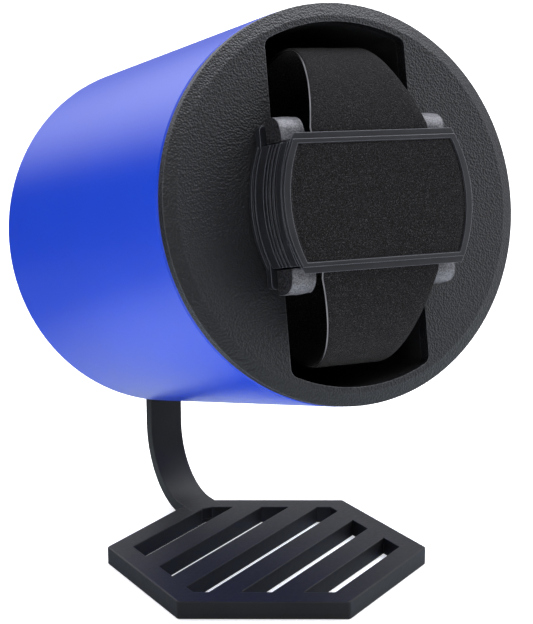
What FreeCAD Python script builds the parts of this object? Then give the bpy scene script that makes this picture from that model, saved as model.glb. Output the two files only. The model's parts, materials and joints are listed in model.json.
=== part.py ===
import FreeCAD, Part
import math
import os

from FreeCAD import Placement, Rotation, Vector
import Sketcher

# Single watch winder: a tilted drum on a curved arm over a hexagonal base grid.
# World frame: millimetres, +Z up, the front faces -Y, origin at the centre of the base's underside.
# Drum frame: X right, Y up along the tilted face, Z out of the drum's front, zero at the tube's front edge.
# Rotor frame: the drum frame turned clockwise by the rest angle of the rotor.

DIMENSIONS = {
    # base grid
    "base_side": 44.9, "base_top": 5.16, "base_under": 0.3, "rim_width": 6.4,
    "slat_width": 7.25, "slat_gap": 7.2, "corner_round": 1.2, "edge_round": 0.4,
    "foot_radius": 2.3, "foot_height": 1.2, "foot_reach": 40.6,
    "foot_side": 13.0, "foot_rear": 34.4,
    # curved arm
    "arm_width": 10.3, "arm_thick": 3.5, "arm_foot_start": 36.6, "bend_centre": 44.5, "bend_radius": 19.0,
    "lean_radius": 30.0, "arm_end": 14.0, "arm_bolt_low": -1.0, "arm_bolt_high": 9.0,
    "root_screw_side": 2.7, "root_screw_reach": 40.0,
    "spacer_thick": 6.0, "spacer_half": 8.0, "spacer_low": -6.0,
    # screws: shank radius, head radius, head height
    "root_shank": 1.3, "root_head": 2.2, "root_head_high": 0.9, "root_tip_gap": 0.8,
    "bolt_shank": 2.0, "bolt_head": 3.6, "bolt_head_high": 2.2,
    "post_head": 2.6, "post_head_high": 1.6, "small_shank": 1.2, "small_head": 2.2, "small_head_high": 1.4,
    "cuff_shank": 1.0, "cuff_head": 2.0, "cuff_head_high": 1.2,
    # drum
    "tilt": 13.52, "drum_front": 39.06, "drum_height": 108.62, "tube_radius": 50.0, "tube_wall": 2.5,
    "tube_length": 102.8, "cap_outer": -102.0, "cap_inner": -99.0,
    "post_spread": 28.28, "post_radius": 3.5, "post_hole": 1.3,
    # fixed plate with its bearings and motor
    "plate_back": -64.0, "plate_front": -60.0, "boss_back": -68.0, "boss_front": -46.0, "boss_radius": 14.0,
    "bearing_outer": 11.0, "bearing_bore": 4.0, "bearing_width": 7.0, "bearing_rear": -67.5,
    "bearing_fore": -53.5, "race_pitch": 7.5, "race_groove": 2.03, "ball_radius": 1.98, "race_rim": 1.7,
    "motor_drop": 31.0, "motor_radius": 14.5, "motor_front": -44.0, "motor_shaft": 2.0,
    "motor_ear": 17.5, "ear_thick": 1.2, "running_gap": 0.05,
    # belt drive
    "pulley_back": -78.0, "pulley_front": -72.0, "pulley_lip": 2.0, "driven_groove": 20.0,
    "motor_groove": 5.0, "belt_gap": 0.3, "belt_thick": 1.4, "belt_width": 3.0,
    # rotor
    "rest_angle": 2.5, "face_radius": 49.9, "face_back": 0.6, "face_step": 3.0, "face_front": 4.2,
    "face_flat_radius": 46.6, "slot_half": 19.9, "slot_end": 45.1, "slot_corner": 2.5, "well_wall": 1.6,
    "well_floor": -37.0, "well_back": -39.0, "flange_back": -1.8, "lining_thick": 1.0, "lining_gap": 0.3,
    "hub_back": -41.5, "hub_radius": 12.0, "hub_head": 2.0, "wheel_hole": 4.0, "wheel_hole_ring": 13.5,
    "shaft_end": -82.0, "clip_back": -80.6, "clip_front": -79.6,
    "rotor_screw_across": 33.0, "rotor_screw_up": 18.0, "hub_screw_ring": 8.6,
    # cuff
    "loop_centre": -4.25, "loop_up": 39.7, "loop_deep": 23.9, "band_top": 17.7, "band_thick": 1.0,
    "band_half": 16.6, "band_end_half": 9.8, "band_straight": 18.0, "band_play": 0.3,
    "back_half": 27.8, "back_side_radius": 36.0, "back_up": 15.3, "back_low": 4.5, "back_step": 5.6,
    "back_high": 6.7, "tab_inner": 22.3, "tab_outer": 24.6, "tab_up": 19.6,
    "middle_half": 27.2, "middle_low": 7.0, "middle_high": 10.6, "stack_up": 14.6,
    "stack_half": 26.2, "stack_high": 17.4, "ridge_half": 26.8, "ridge_first": 10.9, "ridge_pitch": 1.8,
    "ridge_thick": 0.6,
    "frame_half": 26.7, "frame_side_radius": 32.0, "frame_up": 16.5, "frame_low": 18.4, "frame_ledge": 18.75,
    "frame_high": 19.3, "frame_rib_half": 26.3, "frame_rib_up": 15.0, "neck_half": 22.5, "neck_up": 13.5,
    "pad_half": 24.6, "pad_up": 14.0, "pad_side_radius": 33.0, "pad_low": 18.8, "pad_high": 19.15,
    "pad_gap": 0.15,
    "snap_rib_upper": 6.5, "snap_rib_lower": -9.0,
    "foam_inner": 16.7, "foam_outer": 23.2, "foam_low": 14.9, "foam_high": 21.2, "foam_back": 6.9,
    "foam_front": 14.6, "foam_round": 4.5,
    "tongue_half": 19.5, "tongue_up": 6.0, "tongue_back": -6.0, "cuff_screw_side": 19.7, "cuff_screw_up": 9.0,
    # controls in the rear cap
    "knob_side": 26.0, "knob_up": 14.0, "knob_radius": 8.0, "knob_back": -113.0, "knob_front": -102.6,
    "knob_shaft": 3.0, "switch_half": 7.0, "switch_front": -89.0,
    "board_front": -87.4, "board_half": 38.0, "board_low": 4.0, "board_high": 23.6,
    "inlet_side": 26.0, "inlet_drop": -14.0, "inlet_bore": 2.75, "inlet_body": 5.5,
}

doc = FreeCAD.newDocument("watch_winder")
dims = doc.addObject("Spreadsheet::Sheet", "dims")
for row, (alias, number) in enumerate(DIMENSIONS.items(), start=1):
    dims.set(f"A{row}", alias)
    dims.set(f"B{row}", str(number))
    dims.setAlias(f"B{row}", alias)
doc.recompute()

nodes = []


def size(alias):
    """Current value of one driving dimension."""
    return float(dims.get(alias))


def link(formula):
    """Turn plain dimension names in a formula into references to the sheet."""
    words, word = [], ""
    for letter in str(formula) + " ":
        if letter.isalpha() or letter == "_":
            word += letter
            continue
        words.append(f"dims.{word}" if word in DIMENSIONS else word)
        words.append(letter)
        word = ""
    return "".join(words).strip()


def number(formula):
    """Value of a formula in dimension names."""
    return float(dims.evalExpression(link(formula)))


def bind(thing, **formulas):
    """Bind properties to formulas; place_x, place_y and place_z stand for the position."""
    for name, formula in formulas.items():
        prop = f".Placement.Base.{name[-1]}" if name.startswith("place_") else name
        thing.setExpression(prop, link(formula))
    return thing


def cylinder(radius, low, high, x="0", y="0"):
    """Cylinder along Z between two heights."""
    solid = doc.addObject("Part::Cylinder", "cylinder")
    return bind(solid, Radius=radius, Height=f"({high}) - ({low})", place_x=x, place_y=y, place_z=low)


def cylinders(radius, low, high, spots):
    """Equal cylinders at several positions."""
    return [cylinder(radius, low, high, x, y) for x, y in spots]


def cone(radius_low, radius_high, low, high, x="0", y="0"):
    """Cone along Z between two heights."""
    solid = doc.addObject("Part::Cone", "cone")
    return bind(solid, Radius1=radius_low, Radius2=radius_high, Height=f"({high}) - ({low})",
                place_x=x, place_y=y, place_z=low)


def box(x_low, x_high, y_low, y_high, z_low, z_high):
    """Box between two corners."""
    solid = doc.addObject("Part::Box", "box")
    return bind(solid, Length=f"({x_high}) - ({x_low})", Width=f"({y_high}) - ({y_low})",
                Height=f"({z_high}) - ({z_low})", place_x=x_low, place_y=y_low, place_z=z_low)


def fuse(*parts):
    """Union of several solids."""
    joined = doc.addObject("Part::MultiFuse", "fusion")
    joined.Shapes = list(parts)
    joined.Refine = True
    return joined


def common(*parts):
    """Space shared by several solids."""
    shared = doc.addObject("Part::MultiCommon", "common")
    shared.Shapes = list(parts)
    return shared


def cut(base, *tools):
    """Base solid less every tool."""
    left = doc.addObject("Part::Cut", "cut")
    left.Base = base
    left.Tool = tools[0] if len(tools) == 1 else fuse_tools(tools)
    return left


def fuse_tools(tools):
    """Union used only as a cutting tool."""
    joined = doc.addObject("Part::MultiFuse", "tool")
    joined.Shapes = list(tools)
    return joined


def group(*parts):
    """Separate identical pieces kept together in one node."""
    bundle = doc.addObject("Part::Compound", "group")
    bundle.Links = list(parts)
    return bundle


def lens(half_width, side_radius, half_height, low, high):
    """Flat plate with straight top and bottom edges and arc-shaped left and right ends."""
    sides = [cylinder(side_radius, low, high, x=f"{sign}(({half_width}) - ({side_radius}))")
             for sign in ("", "-")]
    return common(*sides, box("-60", "60", f"-({half_height})", half_height, low, high))


def slot_plug(half_width, end_radius, low, high):
    """Slot outline with straight sides and ends concentric with the rotor, corners rounded."""
    doc.recompute()
    raw = common(cylinder(end_radius, low, high),
                 box(f"-({half_width})", half_width, "-60", "60", low, high))
    doc.recompute()
    rounded = doc.addObject("Part::Fillet", "slot")
    rounded.Base = raw
    radius = size("slot_corner")
    rounded.Edges = [(index, radius, radius) for index, edge in enumerate(raw.Shape.Edges, start=1)
                     if is_upright(edge)]
    return rounded


def elliptic_bar(half_up, half_deep, half_long):
    """Bar of elliptical section along X, tall along Y."""
    outline = doc.addObject("Part::Ellipse", "ellipse")
    bind(outline, MajorRadius=half_up, MinorRadius=half_deep)
    outline.Placement = Placement(Vector(0, 0, size("loop_centre")), Rotation(Vector(1, 1, 1), 120))
    bar = doc.addObject("Part::Extrusion", "bar")
    bar.Base = outline
    bar.DirMode = "Custom"
    bar.Dir = Vector(1, 0, 0)
    bar.Solid = True
    bar.Symmetric = True
    return bind(bar, LengthFwd=f"2 * ({half_long})")


def loop_bar(inset, half_long):
    """Inside of the cuff's loop at an inset: an elliptical bar whose front is flat under the frame."""
    return common(elliptic_bar(f"loop_up - {inset}", f"loop_deep - {inset}", half_long),
                  box("-60", "60", "-60", "60", "-60", f"band_top - {inset}"))


def band_outline(play, low, high):
    """Space as wide as the band plus some play: straight beside the plates, tapering above and below."""
    wide, slim = f"band_half + {play}", f"band_end_half + {play}"
    spans = (("band_straight", "loop_up + 1", wide, slim), ("-loop_up - 1", "-band_straight", slim, wide))
    solids = [box(f"-({wide})", wide, "-band_straight", "band_straight", low, high)]
    for near, far, near_half, far_half in spans:
        taper = doc.addObject("Part::Wedge", "taper")
        solids.append(bind(taper, Xmin=f"-({near_half})", Xmax=near_half,
                           X2min=f"-({far_half})", X2max=far_half,
                           Ymin=near, Ymax=far, Zmin=low, Zmax=high, Z2min=low, Z2max=high))
    return fuse(*solids)


def hexagon(circumradius, low, high, x="0", y="0"):
    """Six-sided prism along Z between two heights."""
    solid = doc.addObject("Part::Prism", "hexagon")
    solid.Polygon = 6
    return bind(solid, Circumradius=circumradius, Height=f"({high}) - ({low})",
                place_x=x, place_y=y, place_z=low)


def screw(x, y, seat, tip, shank, head, head_height, points_up=True):
    """Hex-socket screw along Z: its head sits outside the seat, its shank runs to the tip."""
    if points_up:
        outer, mouth = f"({seat}) - ({head_height})", f"({seat}) - ({head_height}) * 0.5"
        solids = (cylinder(head, outer, seat, x, y), cylinder(shank, seat, tip, x, y))
        socket = hexagon(f"({head}) * 0.5", outer, mouth, x, y)
    else:
        outer, mouth = f"({seat}) + ({head_height})", f"({seat}) + ({head_height}) * 0.5"
        solids = (cylinder(head, seat, outer, x, y), cylinder(shank, tip, seat, x, y))
        socket = hexagon(f"({head}) * 0.5", mouth, outer, x, y)
    return cut(fuse(*solids), socket)


def round_spots(radius, angles):
    """Positions on a circle as formulas."""
    return [(f"{radius} * cos({angle})", f"{radius} * sin({angle})") for angle in angles]


def corners(across, up):
    """Four symmetric positions as formulas."""
    return [(f"{sx}({across})", f"{sy}({up})") for sx in ("", "-") for sy in ("", "-")]


TILTED = Placement(Vector(0, -size("drum_front"), size("drum_height")),
                   Rotation(Vector(1, 0, 0), 90 - size("tilt")))
TURNED = TILTED.multiply(Placement(Vector(), Rotation(Vector(0, 0, 1), -size("rest_angle"))))
UPRIGHT = Placement()
EAR_SPOTS = [("motor_ear", "-motor_drop"), ("-motor_ear", "-motor_drop")]
BOLT_SPOTS = [("0", "arm_bolt_low"), ("0", "arm_bolt_high")]


def node(label, thing, frame=UPRIGHT):
    """Name a finished sub-part and put it in its frame."""
    thing.Label = label
    thing.Placement = frame
    nodes.append(thing)
    return thing


def turned_body(label, points, frame):
    """PartDesign body turned about Z from a closed profile of radius and height formulas."""
    body = doc.addObject("PartDesign::Body", label)
    plane = [item for item in body.Origin.OriginFeatures if item.Role == "XZ_Plane"][0]
    sketch = body.newObject("Sketcher::SketchObject", f"{label}_profile")
    sketch.AttachmentSupport = (plane, [""])
    sketch.MapMode = "FlatFace"
    spots = [Vector(number(radius), number(height), 0) for radius, height in points]
    count = len(spots)
    for index in range(count):
        sketch.addGeometry(Part.LineSegment(spots[index], spots[(index + 1) % count]), False)
    for index in range(count):
        sketch.addConstraint(Sketcher.Constraint("Coincident", index, 2, (index + 1) % count, 1))
    for index, (radius, height) in enumerate(points):
        for kind, axis, formula, spot in (("DistanceX", -2, radius, spots[index].x),
                                          ("DistanceY", -1, height, spots[index].y)):
            if abs(spot) < 1e-9:
                sketch.addConstraint(Sketcher.Constraint("PointOnObject", index, 1, axis))
                continue
            place = sketch.addConstraint(Sketcher.Constraint(kind, -1, 1, index, 1, spot))
            sketch.setExpression(f"Constraints[{place}]", link(formula))
    turn = body.newObject("PartDesign::Revolution", f"{label}_turn")
    turn.Profile = sketch
    turn.ReferenceAxis = (sketch, ["V_Axis"])
    turn.Angle = 360
    return node(label, body, frame)


def base_grid():
    """Closed hexagonal ring with parallel slats, its corners on the Y axis."""
    rims = []
    for radius in ("base_side", "base_side - rim_width * 0.5", "base_side - rim_width / cos(30)"):
        rim = hexagon(radius, "base_under", "base_top")
        rim.Placement = Placement(rim.Placement.Base, Rotation(Vector(0, 0, 1), 90))
        rims.append(rim)
    outer, limit, inner = rims
    ring = cut(softened(outer), inner)
    slats = []
    turn = Rotation(Vector(0, 0, 1), 30)
    for step in (-1.5, -0.5, 0.5, 1.5):
        spacing = step * (size("slat_width") + size("slat_gap"))
        start = Vector(-size("base_side"), spacing - size("slat_width") / 2, size("base_under"))
        slat = doc.addObject("Part::Box", "slat")
        bind(slat, Length="2 * base_side", Width="slat_width", Height="base_top - base_under")
        slat.Placement = Placement(turn.multVec(start), turn)
        slats.append(common(slat, limit))
    seat = box("-arm_width * 0.5", "arm_width * 0.5", "arm_foot_start", "60",
               "base_top - arm_thick", "base_top + 1")
    tools = [seat, *cylinders("foot_radius", "0", "foot_height", foot_spots()),
             *cylinders("root_shank", "0", "base_top", root_spots()),
             *cylinders("root_head", "0", "base_under + root_head_high", root_spots())]
    node("base_grid", cut(fuse(ring, *slats), *tools))
    node("foot_pads", group(*cylinders("foot_radius", "0", "foot_height", foot_spots())))


def softened(prism):
    """Hexagonal prism with rounded upright edges and a rounded top edge."""
    doc.recompute()
    for radius, wanted in ((size("corner_round"), is_upright), (size("edge_round"), is_top)):
        rounded = doc.addObject("Part::Fillet", "softened")
        rounded.Base = prism
        rounded.Edges = [(index, radius, radius) for index, edge in enumerate(prism.Shape.Edges, start=1)
                         if wanted(edge)]
        doc.recompute()
        prism = rounded
    return prism


def is_upright(edge):
    """True for an edge that runs along Z."""
    return abs(edge.tangentAt(edge.FirstParameter).z) > 0.99


def is_top(edge):
    """True for an edge that lies in the base's top face."""
    return edge.BoundBox.ZMin > size("base_top") - 0.01


def foot_spots():
    """Centres of the anti-slip pads: five corners of the hexagon and two beside the arm's corner."""
    spots = round_spots("foot_reach", (30, 150, 210, 270, 330))
    return spots + [("foot_side", "foot_rear"), ("-foot_side", "foot_rear")]


def root_spots():
    """Positions of the two screws that hold the arm's foot."""
    return [("root_screw_side", "root_screw_reach"), ("-root_screw_side", "root_screw_reach")]


def arm_shape():
    """Flat bar that leaves the base's rear corner, curves upright and leans with the drum's rear cap."""
    half = "arm_width * 0.5"
    outer_reach = "bend_centre + bend_radius + arm_thick"
    foot = box(f"-{half}", half, "arm_foot_start", "bend_centre", "base_top - arm_thick", "base_top")
    bend_start = Vector(-size("arm_width") / 2, size("bend_centre"), size("base_top") + size("bend_radius"))
    bend = arc_bar("bend_radius", 90, Rotation(Vector(0, 1, 0), 90), bend_start)
    tilt = math.radians(size("tilt"))
    lean_middle = size("lean_radius")
    middle = size("bend_centre") + size("bend_radius") + size("arm_thick") / 2
    cap = TILTED.multVec(Vector(0, 0, size("cap_outer")))
    stand_off = size("spacer_thick") + size("arm_thick") / 2
    reach = middle + lean_middle * (1 - math.cos(tilt)) - cap.y
    lean_start = (cap.z - lean_middle * math.sin(tilt)
                  + (reach * math.cos(tilt) - stand_off) / math.sin(tilt))
    upright = box(f"-{half}", half, f"{outer_reach} - arm_thick", outer_reach,
                  "base_top + bend_radius", str(lean_start))
    lean = arc_bar("lean_radius - arm_thick * 0.5", size("tilt"),
                   Rotation(Vector(0, -1, 0), Vector(0, 0, 1), Vector(-1, 0, 0), "ZXY"),
                   Vector(size("arm_width") / 2, middle + lean_middle, lean_start))
    bend_end = Vector(0, middle + lean_middle * (1 - math.cos(tilt)),
                      lean_start + lean_middle * math.sin(tilt))
    low = TILTED.inverse().multVec(bend_end).y
    tip = box(f"-{half}", half, str(low), "arm_end - arm_width * 0.5",
              "cap_outer - spacer_thick - arm_thick", "cap_outer - spacer_thick")
    round_end = cylinder(half, "cap_outer - spacer_thick - arm_thick", "cap_outer - spacer_thick",
                         "0", "arm_end - arm_width * 0.5")
    head = cut(fuse(tip, round_end), *cylinders("bolt_shank", "cap_outer - 20", "cap_outer", BOLT_SPOTS))
    head.Placement = TILTED
    screw_holes = cylinders("root_shank", "0", "base_top - root_tip_gap", root_spots())
    return cut(fuse(foot, bend, upright, lean, head), *screw_holes)


def arc_bar(inner_radius, angle, turn, centre):
    """Curved stretch of the arm: part of a thick ring whose axis runs across the arm."""
    rings = []
    for radius in (f"{inner_radius} + arm_thick", inner_radius):
        ring = doc.addObject("Part::Cylinder", "ring")
        bind(ring, Radius=radius, Height="arm_width")
        ring.Angle = angle
        ring.Placement = Placement(centre, turn)
        rings.append(ring)
    return cut(*rings)


def arm_parts():
    """The arm with its screws, spacer, bolts and the threaded plate inside the cap."""
    node("stand_arm", arm_shape())
    roots = [fuse(cylinder("root_head", "base_under", "base_under + root_head_high", x, y),
                  cylinder("root_shank", "base_under + root_head_high", "base_top - root_tip_gap", x, y))
             for x, y in root_spots()]
    node("arm_root_screws", group(*roots))
    spacer = box("-spacer_half", "spacer_half", "spacer_low", "arm_end",
                 "cap_outer - spacer_thick", "cap_outer")
    spacer_holes = cylinders("bolt_shank", "cap_outer - 7", "cap_outer + 1", BOLT_SPOTS)
    node("arm_spacer", cut(spacer, *spacer_holes), TILTED)
    plate = box("-7", "7", "spacer_low", "arm_end", "cap_inner", "cap_inner + 3")
    plate_holes = cylinders("bolt_shank", "cap_inner - 1", "cap_inner + 4", BOLT_SPOTS)
    node("arm_nut_plate", cut(plate, *plate_holes), TILTED)
    bolts = [screw(*spot, "cap_outer - spacer_thick - arm_thick", "cap_inner + 3.4",
                   "bolt_shank", "bolt_head", "bolt_head_high") for spot in BOLT_SPOTS]
    node("arm_bolts", group(*bolts), TILTED)


def drum_parts():
    """Tube, rear cap, posts and the fixed plate inside."""
    bore = "tube_radius - tube_wall"
    turned_body("drum_shell", [(bore, "0"), ("tube_radius - 0.5", "0"), ("tube_radius", "0.5"),
                               ("tube_radius", "tube_length - 0.5"), ("tube_radius - 0.5", "tube_length"),
                               (bore, "tube_length")],
                TILTED.multiply(Placement(Vector(0, 0, -size("tube_length")), Rotation())))
    posts = corners("post_spread", "post_spread")
    knobs = [("knob_side", "knob_up"), ("-knob_side", "knob_up")]
    low, high = "cap_outer - 1", "cap_inner + 1"
    cap_holes = [*cylinders("post_hole", low, high, posts), *cylinders("bolt_shank", low, high, BOLT_SPOTS),
                 *cylinders("knob_shaft + running_gap", low, high, knobs),
                 cylinder("inlet_body", low, high, "inlet_side", "inlet_drop")]
    node("rear_cap", cut(cylinder(bore, "cap_outer", "cap_inner"), *cap_holes), TILTED)
    node("rear_cap_screws", group(*[screw(x, y, "cap_outer", "cap_inner + 8",
                                          "post_hole", "post_head", "post_head_high")
                                    for x, y in posts]), TILTED)
    rods = [cut(cylinder("post_radius", "cap_inner", "plate_back", x, y),
                cylinder("post_hole", "cap_inner - 1", "plate_back + 1", x, y)) for x, y in posts]
    node("posts", group(*rods), TILTED)
    plate = fuse(cylinder(bore, "plate_back", "plate_front"),
                 cylinder("boss_radius", "boss_back", "boss_front"))
    holes = [cylinder("bearing_outer", "boss_back - 1", "boss_front + 1"),
             cylinder("motor_groove", "plate_back - 1", "plate_front + 1", "0", "-motor_drop")]
    holes += cylinders("post_hole", "plate_back - 1", "plate_front + 1", posts)
    holes += cylinders("small_shank", "plate_back - 1", "plate_front + 1", EAR_SPOTS)
    node("motor_plate", cut(plate, *holes), TILTED)
    node("motor_plate_screws", group(*[screw(x, y, "plate_front", "plate_back - 8",
                                             "post_hole", "post_head", "post_head_high", points_up=False)
                                       for x, y in posts]), TILTED)


def bearing_parts():
    """Two ball bearings: outer rings and balls stay, inner rings turn with the shaft."""
    outers, inners, balls = [], [], []
    for back in ("bearing_rear", "bearing_fore"):
        front = f"{back} + bearing_width"
        mid = number(f"{back} + bearing_width * 0.5")
        track = doc.addObject("Part::Torus", "track")
        bind(track, Radius1="race_pitch", Radius2="race_groove", place_z=f"{back} + bearing_width * 0.5")
        outers.append(cut(cylinder("bearing_outer", back, front),
                          cylinder("race_pitch + race_rim", f"{back} - 1", f"{front} + 1"), track))
        inners.append(cut(cylinder("race_pitch - race_rim", back, front),
                          cylinder("bearing_bore", f"{back} - 1", f"{front} + 1"), track))
        for index in range(7):
            angle = 2 * math.pi * index / 7
            ball = bind(doc.addObject("Part::Sphere", "ball"), Radius="ball_radius")
            ball.Placement = Placement(Vector(size("race_pitch") * math.cos(angle),
                                              size("race_pitch") * math.sin(angle), mid), Rotation())
            balls.append(ball)
    node("bearing_outer_rings", group(*outers), TILTED)
    node("bearing_balls", group(*balls), TILTED)
    node("bearing_inner_rings", group(*inners), TURNED)
    node("bearing_spacer", cut(cylinder("bearing_bore + 1.5", "bearing_rear + bearing_width", "bearing_fore"),
                               cylinder("bearing_bore", "bearing_rear", "bearing_fore + 1")), TURNED)


def motor_parts():
    """Gear motor on the fixed plate, its shaft and pulley, and the belt."""
    where = ("0", "-motor_drop")
    ears = box("-motor_ear - 3", "motor_ear + 3", "-motor_drop - 4", "-motor_drop + 4",
               "plate_front", "plate_front + ear_thick")
    can = fuse(cylinder("motor_radius", "plate_front", "motor_front", *where),
               cylinder("motor_radius - 3", "motor_front", "motor_front + 2", *where), ears)
    holes = [cylinder("motor_shaft + running_gap", "plate_front - 1", "plate_front + 10", *where),
             *cylinders("small_shank", "plate_front - 1", "plate_front + 2", EAR_SPOTS)]
    node("motor", cut(can, *holes), TILTED)
    node("motor_screws", group(*[screw(x, y, "plate_front + ear_thick", "plate_back",
                                       "small_shank", "small_head", "small_head_high", points_up=False)
                                 for x, y in EAR_SPOTS]), TILTED)
    flat = box("-motor_shaft", "motor_shaft", "motor_shaft * 0.75 - motor_drop", "motor_shaft - motor_drop",
               "pulley_back - 2", "pulley_back")
    shaft = cylinder("motor_shaft", "pulley_back - 1", "plate_front + 9", *where)
    node("motor_shaft", cut(shaft, flat), TILTED)
    node("motor_pulley", cut(grooved_wheel("motor_groove", *where),
                             cylinder("motor_shaft", "pulley_back - 1", "pulley_front + 1", *where)), TILTED)
    node("drive_belt", cut(belt_outline("belt_gap + belt_thick", 0), belt_outline("belt_gap", 1)), TILTED)


def grooved_wheel(groove, x="0", y="0"):
    """Pulley wheel with a flat belt groove."""
    rim = f"{groove} + pulley_lip"
    low = "(pulley_back + pulley_front) * 0.5 - belt_width * 0.5 - belt_gap"
    high = "(pulley_back + pulley_front) * 0.5 + belt_width * 0.5 + belt_gap"
    return fuse(cylinder(groove, "pulley_back", "pulley_front", x, y),
                cylinder(rim, "pulley_back", low, x, y), cylinder(rim, high, "pulley_front", x, y))


def belt_outline(offset, overrun):
    """Solid bounded by the belt's path round both pulleys, a given distance outside their grooves."""
    large = number(f"driven_groove + {offset}")
    small = number(f"motor_groove + {offset}")
    drop = size("motor_drop")
    lean = math.asin((large - small) / drop)
    middle = (size("pulley_back") + size("pulley_front")) / 2
    half = size("belt_width") / 2 + overrun

    def spot(centre_y, radius, angle):
        return Vector(radius * math.cos(angle), centre_y + radius * math.sin(angle), middle - half)

    low_right = -lean
    points = [spot(0, large, low_right), spot(0, large, math.pi / 2), spot(0, large, math.pi - low_right),
              spot(-drop, small, math.pi - low_right), spot(-drop, small, -math.pi / 2),
              spot(-drop, small, low_right)]
    edges = [Part.Arc(*points[0:3]).toShape(), Part.makeLine(points[2], points[3]),
             Part.Arc(*points[3:6]).toShape(), Part.makeLine(points[5], points[0])]
    outline = doc.addObject("Part::Feature", "belt_outline")
    outline.Shape = Part.Face(Part.Wire(edges)).extrude(Vector(0, 0, 2 * half))
    return outline


def rotor_parts():
    """Turning front: chamfered face, slotted well with its lining, hub, shaft and driven pulley."""
    face = fuse(cylinder("face_radius", "face_back", "face_step"),
                cone("face_radius", "face_flat_radius", "face_step", "face_front"))
    spots = corners("rotor_screw_across", "rotor_screw_up")
    pilot = cylinders("small_shank", "face_back - 1", "face_front - 1", spots)
    slot = slot_plug("slot_half", "slot_end", "face_back - 1", "face_front + 1")
    node("rotor_face", cut(face, slot, *pilot), TURNED)
    wall = common(cylinder("slot_end + well_wall", "well_back", "face_back"),
                  box("-slot_half - well_wall", "slot_half + well_wall", "-60", "60",
                      "well_back", "face_back"))
    flange = cylinder("slot_end + well_wall", "flange_back", "face_back")
    hub_ring = round_spots("hub_screw_ring", (45, 135, 225, 315))
    holes = cylinders("small_shank", "flange_back - 1", "face_back + 1", spots)
    holes += cylinders("small_shank", "well_back - 1", "well_floor - 0.4", hub_ring)
    well = slot_plug("slot_half", "slot_end", "well_floor", "face_back + 1")
    node("rotor_well", cut(fuse(wall, flange), well, *holes), TURNED)
    node("rotor_screws", group(*[screw(x, y, "flange_back", "face_front - 1",
                                       "small_shank", "small_head", "small_head_high")
                                 for x, y in spots]), TURNED)
    node("well_lining", slot_plug("slot_half - lining_gap", "slot_end - lining_gap", "well_floor",
                                  "well_floor + lining_thick"), TURNED)
    hub = fuse(cylinder("hub_radius", "hub_back", "well_back"),
               cylinder("bearing_bore", "shaft_end", "hub_back"))
    clip_groove = cut(cylinder("bearing_bore + 1", "clip_back", "clip_front"),
                      cylinder("bearing_bore - 0.7", "clip_back - 1", "clip_front + 1"))
    hub_holes = cylinders("small_shank", "hub_back - 1", "well_back + 1", hub_ring)
    node("rotor_hub", cut(hub, clip_groove, *hub_holes), TURNED)
    node("hub_screws", group(*[screw(x, y, "hub_back", "well_floor - 0.4",
                                     "small_shank", "hub_head", "small_head_high")
                               for x, y in hub_ring]), TURNED)
    clip = cut(cylinder("bearing_bore + 2.6", "clip_back", "clip_front"),
               cylinder("bearing_bore - 0.7", "clip_back - 1", "clip_front + 1"),
               box("-1.8", "1.8", "0", "20", "clip_back - 1", "clip_front + 1"))
    node("shaft_clip", clip, TURNED)
    ring_holes = cylinders("wheel_hole", "pulley_back - 1", "pulley_front + 1",
                           round_spots("wheel_hole_ring", range(18, 378, 72)))
    boss = cylinder("8", "pulley_front", "bearing_rear - 0.6")
    wheel = cut(fuse(grooved_wheel("driven_groove"), boss),
                cylinder("bearing_bore", "pulley_back - 1", "bearing_rear + 1"), *ring_holes)
    node("driven_pulley", wheel, TURNED)


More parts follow.
